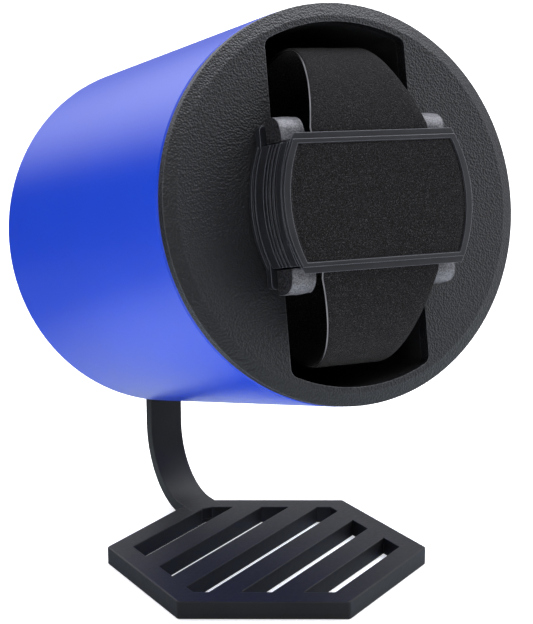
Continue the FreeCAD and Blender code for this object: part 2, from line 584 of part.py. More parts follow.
def cuff_parts():
    """Removable cuff: spring band loop, stacked plates, front frame with its pad, corner foams."""
    ring = cut(loop_bar("0", "30"), loop_bar("band_thick", "40"))
    node("cuff_band", common(ring, band_outline("0", "-40", "30")), TURNED)
    holes = corners("cuff_screw_side", "cuff_screw_up")

    def bores(low, high):
        return cylinders("cuff_shank", low, high, holes)

    tabs = []
    for sign in (1, -1):
        low, high = sorted((sign * size("tab_inner"), sign * size("tab_outer")))
        middle = (low + high) / 2
        radius = "(tab_outer - tab_inner) * 0.5"
        tabs.append(box(str(low), str(high), f"-tab_up + {radius}", f"tab_up - {radius}",
                        "back_low", "back_high"))
        for end in ("", "-"):
            tabs.append(cylinder(radius, "back_low", "back_high", str(middle), f"{end}(tab_up - {radius})"))
    back = fuse(lens("back_half", "back_side_radius", "back_up", "back_low", "back_step"),
                lens("back_half - 0.5", "back_side_radius", "back_up", "back_step", "back_high"), *tabs)
    sinks = cylinders("cuff_head", "back_low - 1", "back_low + cuff_head_high", holes)
    node("cuff_back_plate", cut(back, *bores("back_low", "back_high + 1"), *sinks), TURNED)
    middle_plate = fuse(lens("middle_half - 2", "back_side_radius", "stack_up", "back_high", "middle_low"),
                        lens("middle_half", "back_side_radius", "stack_up", "middle_low", "middle_high"))
    node("cuff_middle_plate", cut(middle_plate, *bores("back_high - 1", "middle_high + 1")), TURNED)
    ridges = [lens("ridge_half", "back_side_radius", "stack_up", f"ridge_first + ridge_pitch * {step}",
                   f"ridge_first + ridge_pitch * {step} + ridge_thick") for step in range(3)]
    stack = fuse(lens("stack_half", "back_side_radius", "stack_up", "middle_high", "stack_high"), *ridges)
    passage = cut(band_outline("band_play", "middle_high + 0.5", "stack_high + 1"),
                  loop_bar("(band_thick + band_play)", "40"))
    node("cuff_ridge_plate", cut(stack, passage, *bores("middle_high - 1", "stack_high + 1")), TURNED)
    snap_ribs = [box(f"{sign}25 - 0.5", f"{sign}25 + 0.5", f"{spot} - 0.5", f"{spot} + 0.5",
                     "stack_high", "frame_low")
                 for sign in ("", "-") for spot in ("snap_rib_upper", "snap_rib_lower")]
    frame = fuse(lens("frame_half", "frame_side_radius", "frame_up", "frame_low", "frame_ledge"),
                 lens("frame_rib_half", "frame_side_radius", "frame_rib_up", "frame_ledge", "frame_high"),
                 lens("neck_half", "pad_side_radius", "neck_up", "stack_high", "frame_low"), *snap_ribs)
    recess = lens("pad_half", "pad_side_radius", "pad_up", "pad_low", "frame_high + 1")
    room = band_outline("band_play", "stack_high - 1", "frame_low - 0.4")
    node("cuff_frame", cut(frame, recess, room, *bores("stack_high - 1", "frame_low")), TURNED)
    pad = lens("pad_half - pad_gap", "pad_side_radius", "pad_up - pad_gap", "pad_low", "pad_high")
    node("cuff_pad", pad, TURNED)
    heads = cylinders("cuff_head", "back_low", "back_low + cuff_head_high", holes)
    shanks = cylinders("cuff_shank", "back_low + cuff_head_high", "frame_low - 0.1", holes)
    screws = [fuse(head, shank) for head, shank in zip(heads, shanks)]
    node("cuff_screws", group(*screws), TURNED)
    tongue = box("-tongue_half", "tongue_half", "-tongue_up", "tongue_up", "tongue_back", "back_low")
    pocket = box("-tongue_half + 2", "tongue_half - 2", "-tongue_up + 2", "tongue_up - 2",
                 "tongue_back - 1", "back_low - 2")
    node("cuff_tongue", cut(tongue, pocket), TURNED)
    for side, x_sign in (("left", -1), ("right", 1)):
        for level, y_sign in (("upper", 1), ("lower", -1)):
            node(f"foam_{level}_{side}", corner_foam(x_sign, y_sign), TURNED)


def corner_foam(x_sign, y_sign):
    """Foam block beside the band, its outer front edge rounded."""
    x_low, x_high = sorted((x_sign * size("foam_inner"), x_sign * size("foam_outer")))
    y_low, y_high = sorted((y_sign * size("foam_low"), y_sign * size("foam_high")))
    block = box(str(x_low), str(x_high), str(y_low), str(y_high), "foam_back", "foam_front")
    edge_y = y_high if y_sign > 0 else y_low
    radius = size("foam_round")
    y_trim = sorted((edge_y, edge_y - y_sign * radius))
    corner = box(str(x_low), str(x_high), str(y_trim[0]), str(y_trim[1]),
                 "foam_front - foam_round", "foam_front")
    roll = doc.addObject("Part::Cylinder", "roll")
    bind(roll, Radius="foam_round", Height="foam_outer - foam_inner")
    roll.Placement = Placement(Vector(x_low, edge_y - y_sign * radius, size("foam_front") - radius),
                               Rotation(Vector(0, 1, 0), 90))
    return cut(block, cut(corner, roll))


def control_parts():
    """Board, rotary switches, knobs and the power inlet behind the rear cap."""
    knobs = [("knob_side", "knob_up"), ("-knob_side", "knob_up")]
    board = box("-board_half", "board_half", "board_low", "board_high", "board_front - 1.6", "board_front")
    fixings = cylinders("small_shank", "board_front - 2", "board_front + 1",
                        [("35", "6.5"), ("35", "21"), ("-35", "6.5"), ("-35", "21")])
    node("control_board", cut(board, *fixings), TILTED)
    node("board_chips", group(box("-4.5", "4.5", "9", "18", "board_front", "board_front + 1.4"),
                              box("9", "15", "10", "14", "board_front", "board_front + 1.2")), TILTED)
    cans = cylinders("3", "board_front", "board_front + 7", [("-14", "14"), ("-22", "14")])
    node("board_capacitors", group(*cans), TILTED)
    plug = cut(box("19", "29", "7", "12", "board_front", "board_front + 6"),
               box("20", "28", "8", "11", "board_front + 1", "board_front + 7"))
    node("board_connector", plug, TILTED)
    bodies = []
    for x, y in knobs:
        body = box(f"{x} - switch_half", f"{x} + switch_half", f"{y} - switch_half", f"{y} + switch_half",
                   "cap_inner", "switch_front")
        bore = cylinder("knob_shaft + running_gap", "cap_inner - 1", "switch_front - 3", x, y)
        bodies.append(cut(body, bore))
    node("rotary_switches", group(*bodies), TILTED)
    for label, (x, y) in zip(("mode", "direction"), knobs):
        frame = TILTED.multiply(Placement(Vector(number(x), number(y), size("knob_back")), Rotation()))
        shaft = cylinder("knob_shaft", "1.5", "switch_front - 3.4 - knob_back")
        node(f"{label}_shaft", fuse(shaft, cylinder("knob_shaft - 0.4", "1.2", "1.5")), frame)
        ribs = [cylinder("0.7", "1", "knob_front - knob_back", f"(knob_radius + 0.2) * cos({angle})",
                         f"(knob_radius + 0.2) * sin({angle})") for angle in range(0, 360, 20)]
        knob = cut(fuse(cone("knob_radius - 1", "knob_radius", "0", "1"),
                        cylinder("knob_radius", "1", "knob_front - knob_back")),
                   cylinder("knob_shaft", "1.5", "knob_front - knob_back + 1"),
                   cylinder("knob_shaft - 0.4", "1.2", "2"),
                   box("-0.5", "0.5", "knob_radius * 0.4", "knob_radius + 1", "-1", "0.4"), *ribs)
        node(f"{label}_knob", knob, frame)
    where = ("inlet_side", "inlet_drop")
    jack = cut(fuse(cylinder("inlet_body + 1.6", "cap_outer - 1.2", "cap_outer", *where),
                    cylinder("inlet_body", "cap_outer", "cap_inner + 11", *where)),
               cylinder("inlet_bore", "cap_outer - 2", "cap_outer + 9", *where))
    node("power_inlet", fuse(jack, cylinder("1", "cap_outer", "cap_outer + 9.5", *where)), TILTED)
    nut = hexagon("inlet_body + 3", "cap_inner", "cap_inner + 2.4", *where)
    node("inlet_nut", cut(nut, cylinder("inlet_body", "cap_inner - 1", "cap_inner + 4", *where)), TILTED)


for build in (base_grid, arm_parts, drum_parts, bearing_parts, motor_parts, rotor_parts, cuff_parts,
              control_parts):
    build()
doc.recompute()

for thing in doc.Objects:
    if "Invalid" in thing.State or "Error" in thing.State:
        raise RuntimeError(f"{thing.Name} ({thing.Label}) failed: {thing.State}")
for thing in nodes:
    shape = thing.Shape
    if shape.isNull() or not shape.isValid() or not shape.Solids:
        raise RuntimeError(f"{thing.Label} has no valid solid")

os.makedirs("parts", exist_ok=True)
for thing in nodes:
    thing.Shape.exportStep(f"parts/{thing.Label}.step")
    print(f"{thing.Label}: {len(thing.Shape.Solids)} solids, {thing.Shape.Volume:.1f} mm3")
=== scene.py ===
import math

import bpy
from mathutils import Matrix, Vector, noise
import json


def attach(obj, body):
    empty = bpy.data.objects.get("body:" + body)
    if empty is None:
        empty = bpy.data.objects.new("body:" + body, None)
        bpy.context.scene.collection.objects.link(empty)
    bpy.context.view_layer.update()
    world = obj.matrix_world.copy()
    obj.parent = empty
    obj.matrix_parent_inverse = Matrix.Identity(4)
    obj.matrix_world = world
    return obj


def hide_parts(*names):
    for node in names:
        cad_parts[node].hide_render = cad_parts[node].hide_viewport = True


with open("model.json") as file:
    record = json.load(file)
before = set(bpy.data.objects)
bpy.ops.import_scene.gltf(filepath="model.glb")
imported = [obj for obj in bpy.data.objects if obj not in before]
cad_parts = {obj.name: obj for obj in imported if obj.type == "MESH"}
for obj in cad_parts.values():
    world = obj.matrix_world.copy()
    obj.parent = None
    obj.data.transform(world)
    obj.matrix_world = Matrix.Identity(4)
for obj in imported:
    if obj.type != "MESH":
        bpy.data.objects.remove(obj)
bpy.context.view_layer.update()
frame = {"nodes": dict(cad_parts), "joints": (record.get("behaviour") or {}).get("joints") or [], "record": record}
nodes = frame["nodes"]
joints = {joint["name"]: joint for joint in frame["joints"]}

MM = 0.001

# ---------------------------------------------------------------- frames of the drum and the rotor

SPIN_AXIS = Vector(joints["rotor_spin"]["axis"]).normalized()
DRUM_ORIGIN = Vector(joints["rotor_spin"]["pos_m"])
REST_ANGLE = math.radians(2.5)


def drum_matrix():
    """X right, Y up along the tilted face, Z out of the drum."""
    right = Vector((1, 0, 0))
    up = SPIN_AXIS.cross(right)
    matrix = Matrix((right, up, SPIN_AXIS)).transposed().to_4x4()
    matrix.translation = DRUM_ORIGIN
    return matrix


DRUM = drum_matrix()
ROTOR = DRUM @ Matrix.Rotation(-REST_ANGLE, 4, "Z")

# ---------------------------------------------------------------- node-tree helpers


class Surface:
    """One procedural material: a principled shader and the textures that feed it."""

    def __init__(self, name):
        self.material = bpy.data.materials.new(name)
        self.material.use_nodes = True
        self.tree = self.material.node_tree
        self.shader = self.tree.nodes["Principled BSDF"]
        self.place = self.add("ShaderNodeTexCoord").outputs["Object"]
        self.normal = None

    def add(self, kind, **settings):
        node = self.tree.nodes.new(kind)
        for name, value in settings.items():
            setattr(node, name, value)
        return node

    def link(self, start, end):
        self.tree.links.new(start, end)

    def noise(self, scale, detail=4.0, roughness=0.5, stretch=None):
        texture = self.add("ShaderNodeTexNoise")
        texture.inputs["Scale"].default_value = scale
        texture.inputs["Detail"].default_value = detail
        texture.inputs["Roughness"].default_value = roughness
        self.link(self.stretched(stretch), texture.inputs["Vector"])
        return texture.outputs["Fac"]

    def cells(self, scale):
        texture = self.add("ShaderNodeTexVoronoi", feature="F1")
        texture.inputs["Scale"].default_value = scale
        self.link(self.place, texture.inputs["Vector"])
        return texture.outputs["Distance"]

    def stretched(self, stretch):
        if stretch is None:
            return self.place
        mapping = self.add("ShaderNodeMapping")
        mapping.inputs["Scale"].default_value = stretch
        self.link(self.place, mapping.inputs["Vector"])
        return mapping.outputs["Vector"]

    def ramp(self, source, *stops):
        ramp = self.add("ShaderNodeValToRGB")
        elements = ramp.color_ramp.elements
        while len(elements) < len(stops):
            elements.new(0.5)
        for element, (spot, colour) in zip(elements, stops):
            element.position = spot
            element.color = (*colour, 1.0)
        self.link(source, ramp.inputs["Fac"])
        return ramp.outputs["Color"]

    def spread(self, source, low, high, start=0.0, end=1.0):
        span = self.add("ShaderNodeMapRange")
        for socket, value in (("From Min", start), ("From Max", end), ("To Min", low), ("To Max", high)):
            span.inputs[socket].default_value = value
        self.link(source, span.inputs["Value"])
        return span.outputs["Result"]

    def mix(self, factor, first, second):
        blend = self.add("ShaderNodeMix", data_type="RGBA")
        self.link(factor, blend.inputs["Factor"])
        for socket, value in zip((blend.inputs[6], blend.inputs[7]), (first, second)):
            if isinstance(value, tuple):
                socket.default_value = (*value, 1.0)
            else:
                self.link(value, socket)
        return blend.outputs[2]

    def colour(self, source):
        self.link(source, self.shader.inputs["Base Color"])

    def rough(self, source):
        if isinstance(source, float):
            self.shader.inputs["Roughness"].default_value = source
        else:
            self.link(source, self.shader.inputs["Roughness"])

    def bevelled(self, radius):
        bevel = self.add("ShaderNodeBevel", samples=6)
        bevel.inputs["Radius"].default_value = radius
        return bevel.outputs["Normal"]

    def soft_edges(self, radius):
        self.normal = self.bevelled(radius)
        self.link(self.normal, self.shader.inputs["Normal"])

    def painted_highlight_mask(self, radius):
        """Mask for painted edge highlights: 1 along outward edges, falling to 0 on flat areas and in inward
        corners.
        """
        facing = self.add("ShaderNodeVectorMath", operation="DOT_PRODUCT")
        self.link(self.bevelled(radius), facing.inputs[0])
        self.link(self.add("ShaderNodeNewGeometry").outputs["Normal"], facing.inputs[1])
        turned = self.spread(facing.outputs["Value"], 1.0, 0.0, start=0.88, end=0.995)
        shade = self.add("ShaderNodeAmbientOcclusion", samples=4, only_local=True)
        shade.inputs["Distance"].default_value = 3 * radius
        open_side = self.spread(shade.outputs["AO"], 0.0, 1.0, start=0.6, end=0.9)
        both = self.add("ShaderNodeMath", operation="MULTIPLY")
        self.link(turned, both.inputs[0])
        self.link(open_side, both.inputs[1])
        return both.outputs[0]

    def bump(self, source, distance, strength=1.0):
        bump = self.add("ShaderNodeBump")
        bump.inputs["Strength"].default_value = strength
        bump.inputs["Distance"].default_value = distance
        self.link(source, bump.inputs["Height"])
        if self.normal is not None:
            self.link(self.normal, bump.inputs["Normal"])
        self.normal = bump.outputs["Normal"]
        self.link(self.normal, self.shader.inputs["Normal"])

    def set(self, **values):
        for name, value in values.items():
            self.shader.inputs[name.replace("_", " ")].default_value = value


# ---------------------------------------------------------------- materials


def powder_coat():
    """Matt black powder coat: fine orange peel, soft edges, faint rubbed patches and a painted highlight along
    outward edges.
    """
    surface = Surface("powder_coat")
    patch = surface.noise(60.0, detail=5.0)
    coat = surface.ramp(patch, (0.3, (0.0045, 0.0045, 0.0050)), (0.7, (0.0080, 0.0080, 0.0088)))
    # painted highlight: outward edges are given a paler colour
    surface.colour(surface.mix(surface.painted_highlight_mask(0.5 * MM), coat, (0.030, 0.030, 0.032)))
    surface.rough(surface.spread(surface.noise(900.0, detail=3.0), 0.46, 0.6))
    surface.soft_edges(0.55 * MM)
    surface.bump(surface.noise(2600.0, detail=2.0), 0.05 * MM, 0.5)
    surface.bump(surface.noise(600.0, detail=3.0), 0.05 * MM, 0.4)
    surface.set(Specular_IOR_Level=0.34)
    return surface.material


def satin_blue():
    """Satin royal blue lacquer on a spun aluminium tube."""
    surface = Surface("satin_blue")
    drift = surface.noise(18.0, detail=4.0)
    surface.colour(surface.ramp(drift, (0.3, (0.0010, 0.037, 0.46)), (0.7, (0.0014, 0.042, 0.50))))
    surface.rough(surface.spread(surface.noise(1400.0, detail=4.0), 0.27, 0.32))
    surface.bump(surface.noise(2400.0, detail=3.0), 0.01 * MM, 0.3)
    surface.bump(surface.noise(40.0, detail=2.0), 0.05 * MM, 0.12)
    surface.set(Specular_IOR_Level=0.5)
    return surface.material


def pebble_plastic():
    """Black moulded plastic with a fine leather grain and a painted highlight along its edges."""
    surface = Surface("pebble_plastic")
    surface.soft_edges(0.35 * MM)
    pebbles = surface.cells(1900.0)
    tint = surface.ramp(pebbles, (0.15, (0.0090, 0.0092, 0.0118)), (0.75, (0.003, 0.003, 0.004)))
    skin = surface.mix(surface.noise(150.0, detail=5.0), tint, (0.0055, 0.0056, 0.0072))
    # painted highlight: outward edges, such as the chamfer's, are given a paler colour
    surface.colour(surface.mix(surface.painted_highlight_mask(0.4 * MM), skin, (0.060, 0.061, 0.067)))
    surface.rough(surface.spread(pebbles, 0.32, 0.56, start=0.1, end=0.7))
    surface.bump(pebbles, 0.16 * MM, 0.9)
    surface.bump(surface.noise(2400.0, detail=3.0), 0.05 * MM, 0.5)
    surface.set(Specular_IOR_Level=0.55)
    return surface.material


def moulded(name, dark, light, low, high, depth=0.04, edge=0.25, highlight_gain=3.0):
    """Injection-moulded plastic: faint spark texture, slightly uneven gloss and paler edges, which are a painted
    highlight.
    """
    surface = Surface(name)
    body = surface.ramp(surface.noise(220.0, detail=4.0), (0.3, dark), (0.7, light))
    # painted highlight: outward edges get the light colour brightened by a factor
    highlight_colour = tuple(channel * highlight_gain for channel in light)
    surface.colour(surface.mix(surface.painted_highlight_mask(edge * MM), body, highlight_colour))
    surface.rough(surface.spread(surface.noise(1300.0, detail=3.0), low, high))
    surface.soft_edges(edge * MM)
    surface.bump(surface.noise(2200.0, detail=3.0), depth * MM, 0.4)
    surface.set(Specular_IOR_Level=0.5)
    return surface.material


def felt(name, dark, light, fleck, scale=1.0):
    """Short dense felt: tangled fibres, tiny pale flecks, soft sheen."""
    surface = Surface(name)
    fibre = surface.noise(2600.0 * scale, detail=3.0, roughness=0.6)
    base = surface.ramp(fibre, (0.38, dark), (0.62, light))
    specks = surface.noise(4300.0 * scale, detail=1.0)
    flecks = surface.ramp(specks, (0.60, (0.0, 0.0, 0.0)), (0.70, (1.0, 1.0, 1.0)))
    surface.colour(surface.mix(flecks, base, fleck))
    surface.rough(0.95)
    surface.bump(surface.noise(1900.0 * scale, detail=5.0, roughness=0.7), 0.25 * MM, 0.8)
    surface.bump(surface.noise(420.0 * scale, detail=3.0), 0.12 * MM, 0.3)
    surface.set(Sheen_Weight=0.06, Sheen_Roughness=0.5, Specular_IOR_Level=0.10)
    return surface.material


def cut_foam():
    """Open-cell foam where it has been cut."""
    surface = Surface("cut_foam")
    pores = surface.cells(1500.0)
    surface.colour(surface.ramp(pores, (0.1, (0.003, 0.003, 0.004)), (0.6, (0.022, 0.022, 0.025))))
    surface.rough(0.95)
    surface.bump(pores, 0.6 * MM, 1.0)
    surface.bump(surface.noise(700.0, detail=4.0), 0.3 * MM, 0.6)
    surface.set(Specular_IOR_Level=0.15)
    return surface.material


def foam_skin():
    """Smooth closed skin of moulded foam: fine pores and a dull shine."""
    surface = Surface("foam_skin")
    pores = surface.noise(2700.0, detail=3.0, roughness=0.6)
    surface.colour(surface.ramp(pores, (0.36, (0.036, 0.036, 0.041)), (0.64, (0.145, 0.146, 0.16))))
    surface.rough(surface.spread(pores, 0.34, 0.5))
    surface.bump(pores, 0.10 * MM, 0.7)
    surface.bump(surface.noise(500.0, detail=2.0), 0.10 * MM, 0.3)
    return surface.material


def brushed_steel():
    """Turned or brushed steel with fine lines."""
    surface = Surface("steel")
    lines = surface.noise(300.0, detail=5.0, stretch=(1.0, 1.0, 14.0))
    surface.colour(surface.ramp(lines, (0.3, (0.42, 0.42, 0.44)), (0.7, (0.58, 0.58, 0.6))))
    surface.rough(surface.spread(lines, 0.25, 0.4))
    surface.bump(lines, 0.02 * MM, 0.4)
    surface.set(Metallic=1.0)
    return surface.material


def plate_metal():
    """Bead-blasted aluminium plate."""
    surface = Surface("plate_metal")
    cloud = surface.noise(500.0, detail=4.0)
    surface.colour(surface.ramp(cloud, (0.3, (0.5, 0.5, 0.52)), (0.7, (0.62, 0.62, 0.64))))
    surface.rough(surface.spread(surface.noise(1800.0), 0.35, 0.5))
    surface.bump(surface.noise(2600.0, detail=2.0), 0.03 * MM, 0.5)
    surface.set(Metallic=1.0)
    return surface.material


def circuit_board():
    """Green solder mask with faint copper runs under it."""
    surface = Surface("circuit_board")
    runs = surface.add("ShaderNodeTexBrick", offset=0.35)
    runs.inputs["Scale"].default_value = 260.0
    runs.inputs["Mortar Size"].default_value = 0.012
    surface.link(surface.place, runs.inputs["Vector"])
    surface.colour(surface.mix(runs.outputs["Fac"], (0.008, 0.10, 0.035), (0.03, 0.22, 0.08)))
    surface.rough(surface.spread(surface.noise(700.0), 0.25, 0.38))
    surface.bump(runs.outputs["Fac"], 0.04 * MM, 0.6)
    return surface.material


def rubber():
    """Matt black rubber with dusty bloom."""
    surface = Surface("rubber")
    bloom = surface.noise(300.0, detail=6.0)
    surface.colour(surface.ramp(bloom, (0.35, (0.012, 0.012, 0.012)), (0.75, (0.035, 0.035, 0.034))))
    surface.rough(surface.spread(surface.noise(900.0), 0.7, 0.9))
    surface.bump(surface.noise(1500.0, detail=3.0), 0.06 * MM, 0.6)
    surface.set(Specular_IOR_Level=0.3)
    return surface.material


FINISHES = {
    "powder_black": powder_coat(),
    "blue_metal": satin_blue(),
    "pebble_black": pebble_plastic(),
    "black_plastic": moulded("black_plastic", (0.008, 0.008, 0.009), (0.014, 0.014, 0.015), 0.45, 0.6),
    # grey plastic: strong painted highlight along its edges, nine times its light colour
    "grey_plastic": moulded("grey_plastic", (0.0075, 0.008, 0.0095), (0.013, 0.0135, 0.016), 0.26, 0.36,
                            depth=0.02, edge=0.22, highlight_gain=9.0),
    "felt_black": felt("felt_black", (0.0010, 0.0009, 0.0010), (0.0080, 0.0073, 0.0078),
                       (0.052, 0.049, 0.051), scale=1.12),
    "steel": brushed_steel(),
    "plate_metal": plate_metal(),
    "board_green": circuit_board(),
    "chip_black": moulded("chip_black", (0.01, 0.01, 0.01), (0.02, 0.02, 0.02), 0.4, 0.55),
    "rubber_black": rubber(),
}
FINISHES["foam_grey"] = cut_foam()
FOAM_SKIN = foam_skin()
CUT_EDGE = moulded("cut_edge", (0.10, 0.10, 0.108), (0.19, 0.19, 0.202), 0.45, 0.6, highlight_gain=1.0)


def finish_nodes():
    """Give every CAD node the finish of its slot."""
    slots = {part["node"]: part["material_slot"] for part in frame["record"]["subparts"]}
    for name, thing in nodes.items():
        finish = FINISHES[slots[name]]
        thing.data.materials.clear()
        thing.data.materials.append(finish)


# ---------------------------------------------------------------- mesh helpers


def add_piece(name, vertices, faces, material, body):
    """Make a smooth mesh piece from world points in metres and let it ride on a body."""
    mesh = bpy.data.meshes.new(name)
    mesh.from_pydata([tuple(v) for v in vertices], [], faces)
    mesh.validate()
    mesh.update()
    mesh.materials.append(material)
    mesh.polygons.foreach_set("use_smooth", [True] * len(mesh.polygons))
    piece = bpy.data.objects.new(name, mesh)
    bpy.context.scene.collection.objects.link(piece)
    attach(piece, body)
    return piece


def grid_faces(rows, columns, closed_rows=False, closed_columns=False):
    """Quads over a grid of points, row by row."""
    faces = []
    for row in range(rows if closed_rows else rows - 1):
        for column in range(columns if closed_columns else columns - 1):
            below = ((row + 1) % rows) * columns
            after = (column + 1) % columns
            faces.append((row * columns + column, row * columns + after, below + after, below + column))
    return faces


def border(rows, columns):
    """Indices of the points round the edge of a grid, in order."""
    loop = [(0, column) for column in range(columns)]
    loop += [(row, columns - 1) for row in range(1, rows)]
    loop += [(rows - 1, column) for column in range(columns - 2, -1, -1)]
    loop += [(row, 0) for row in range(rows - 2, 0, -1)]
    return [row * columns + column for row, column in loop]


def slab_faces(rows, columns):
    """Faces of a slab made of a low grid and a high grid of points, joined round their edges."""
    size = rows * columns
    low = grid_faces(rows, columns)
    high = [tuple(index + size for index in reversed(face)) for face in low]
    rim = border(rows, columns)
    sides = [(start, end, end + size, start + size) for start, end in zip(rim, rim[1:] + rim[:1])]
    return low + high + sides


# ---------------------------------------------------------------- cuff: band, pad and foams

LOOP_CENTRE, LOOP_UP, LOOP_DEEP, BAND_TOP = -4.25, 39.7, 23.9, 17.7
BAND_HALF, BAND_END_HALF, BAND_STRAIGHT = 16.6, 9.8, 18.0
BAND_FELT, BAND_CORE, BAND_THICK, CORE_SHOWS = 0.3, 0.62, 1.0, 0.34
BAND_STEPS, BAND_EDGE, BAND_UNEVEN = 240, 0.2, 0.05


def band_half_width(height):
    """Half width of the band at a height along the rotor: straight beside the plates, then tapering."""
    taper = max(0.0, abs(height) - BAND_STRAIGHT) / (LOOP_UP + 1 - BAND_STRAIGHT)
    return BAND_HALF + (BAND_END_HALF - BAND_HALF) * taper


def loop_point(angle, depth):
    """Point on the loop's section, a depth inside its outer face; the front runs flat under the frame."""
    up, out = math.sin(angle), math.cos(angle)
    inward = -Vector((up / LOOP_UP, out / LOOP_DEEP)).normalized()
    y = LOOP_UP * up + inward.x * depth
    z = LOOP_CENTRE + LOOP_DEEP * out + inward.y * depth
    return y, min(z, BAND_TOP - depth)


def band_profile(outer, inner):
    """Places round the band's cross-section: share of the half width, depth, share of the edge's radius."""
    across = [-1 + step / 6 for step in range(13)]
    middle, half = (outer + inner) / 2, (inner - outer) / 2
    turns = [math.pi * step / 6 for step in range(1, 6)]
    profile = [(share, outer, 0.0) for share in across]
    profile += [(1, middle - half * math.cos(turn), math.sin(turn)) for turn in turns]
    profile += [(-share, inner, 0.0) for share in across]
    profile += [(-1, middle + half * math.cos(turn), math.sin(turn)) for turn in turns]
    return profile


def band_layer(name, outer, inner, trim, material, waviness, back_trim=0.0):
    """One closed layer of the band between two depths; its rounded edges lie further in at the back."""
    profile = band_profile(outer, inner)
    edge = min(BAND_EDGE, (inner - outer) / 2)
    points = []
    for index in range(BAND_STEPS):
        angle = 2 * math.pi * index / BAND_STEPS
        height = LOOP_UP * math.sin(angle)
        behind = min(1.0, max(0.0, (0.5 - math.cos(angle)) / 0.35))
        width = band_half_width(height) - trim - edge - back_trim * behind
        for share, depth, out in profile:
            sample = Vector((share * 2, math.cos(angle) * 5, math.sin(angle) * 7))
            lift = waviness * noise.noise(sample) * (1 - abs(share)) if depth == outer else 0.0
            y, z = loop_point(angle, depth - lift)
            side = share * (width + edge * out) + BAND_UNEVEN * noise.noise(sample * 1.7)
            points.append(ROTOR @ (Vector((side, y, z)) * MM))
    faces = grid_faces(BAND_STEPS, len(profile), closed_rows=True, closed_columns=True)
    return add_piece(name, points, faces, material, "cuff")


def cuff_band():
    """Felt outside, a pale core strip whose edges show on both sides, and a lining inside."""
    felt_layer = band_layer("band_felt", 0.0, BAND_FELT, CORE_SHOWS, FINISHES["felt_black"], 0.12)
    strip = band_layer("band_strip", BAND_FELT, BAND_CORE, 0.1, CUT_EDGE, 0.0, back_trim=0.6)
    lining = band_layer("band_lining", BAND_CORE, BAND_THICK, 0.3, FINISHES["felt_black"], 0.0)
    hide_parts("cuff_band")


def lens_edge(half_width, side_radius, height):
    """Half width of an arc-ended plate at a height."""
    return half_width - (side_radius - math.sqrt(side_radius ** 2 - height ** 2))


def cuff_pad():
    """Felt pad in the frame's recess, slightly crowned, its rim tucked down."""
    half_width, side_radius, half_up = 24.45, 33.0, 13.85
    low, high, crown, unevenness = 18.8, 19.1, 0.2, 0.03
    tuck_share, tuck_power = 0.8, 24
    columns, rows = 61, 41
    points = []
    for layer in (0, 1):
        for row in range(rows):
            across_up = -1 + 2 * row / (rows - 1)
            for column in range(columns):
                across = -1 + 2 * column / (columns - 1)
                y = across_up * half_up
                x = across * lens_edge(half_width, side_radius, y)
                rim = max(abs(across), abs(across_up))
                tuck = (high - low) * tuck_share * rim ** tuck_power
                swell = crown * (1 - across ** 2) * (1 - across_up ** 2)
                rumple = unevenness * noise.noise(Vector((x * 0.35, y * 0.35, 4.0)))
                z = low if layer == 0 else high - tuck + swell + rumple
                points.append(ROTOR @ (Vector((x, y, z)) * MM))
    faces = slab_faces(rows, columns)
    pad = add_piece("cuff_pad_felt", points, faces, FINISHES["felt_black"], "cuff")
    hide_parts("cuff_pad")


FOAM_INNER, FOAM_OUTER, FOAM_LOW, FOAM_HIGH = 16.7, 23.2, 14.9, 21.2
FOAM_BACK, FOAM_FRONT, FOAM_ROLL, FOAM_RIBS = 6.9, 14.6, 4.5, 13
FOAM_BULGE, FOAM_RIPPLE, FOAM_INSET = 0.22, 0.12, 0.2


def foam_outline():
    """Side view of a foam block as heights and depths, its outer front edge rolled over."""
    outline = [(FOAM_LOW, FOAM_BACK), (FOAM_LOW, FOAM_FRONT)]
    for step in range(1, 17):
        angle = math.pi / 2 * step / 16
        outline.append((FOAM_HIGH - FOAM_ROLL + FOAM_ROLL * math.sin(angle),
                        FOAM_FRONT - FOAM_ROLL + FOAM_ROLL * math.cos(angle)))
    outline.append((FOAM_HIGH, FOAM_BACK))
    return subdivided(outline, 0.6)


def foam_points(outline, x_sign, y_sign):
    """Points of one block, rib by rib from the band outwards, slightly bulged and uneven."""
    middle_y, middle_z = (FOAM_LOW + FOAM_HIGH) / 2, (FOAM_BACK + FOAM_FRONT) / 2
    points = []
    for rib in range(FOAM_RIBS):
        share = rib / (FOAM_RIBS - 1)
        bulge = FOAM_BULGE * math.sin(math.pi * share)
        x = (FOAM_INNER + (FOAM_OUTER - FOAM_INNER) * share) * x_sign
        for y, z in outline:
            ripple = FOAM_RIPPLE * noise.noise(Vector((x * 0.6, y * 0.6 * y_sign, z * 0.6)))
            away = Vector((0, y - middle_y, z - middle_z)).normalized()
            spot = Vector((x, y, z)) + away * (bulge - FOAM_INSET + ripple)
            points.append(ROTOR @ (Vector((spot.x, spot.y * y_sign, spot.z)) * MM))
    return points


def foam_block(name, x_sign, y_sign):
    """One foam block: skin over its sides, cut cells at both ends."""
    outline = foam_outline()
    count = len(outline)
    faces = grid_faces(FOAM_RIBS, count, closed_columns=True)
    faces.append(tuple(range(count)))
    faces.append(tuple(reversed(range((FOAM_RIBS - 1) * count, FOAM_RIBS * count))))
    if x_sign * y_sign > 0:
        faces = [tuple(reversed(face)) for face in faces]
    points = foam_points(outline, x_sign, y_sign)
    foam = add_piece(f"{name}_block", points, faces, FOAM_SKIN, "cuff")
    foam.data.materials.append(FINISHES["foam_grey"])
    for polygon in foam.data.polygons[-2:]:
        polygon.material_index = 1
        polygon.use_smooth = False
    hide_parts(name)


def corner_foams():
    """The four foam blocks beside the band."""
    for side, x_sign in (("left", -1), ("right", 1)):
        for level, y_sign in (("upper", 1), ("lower", -1)):
            foam_block(f"foam_{level}_{side}", x_sign, y_sign)


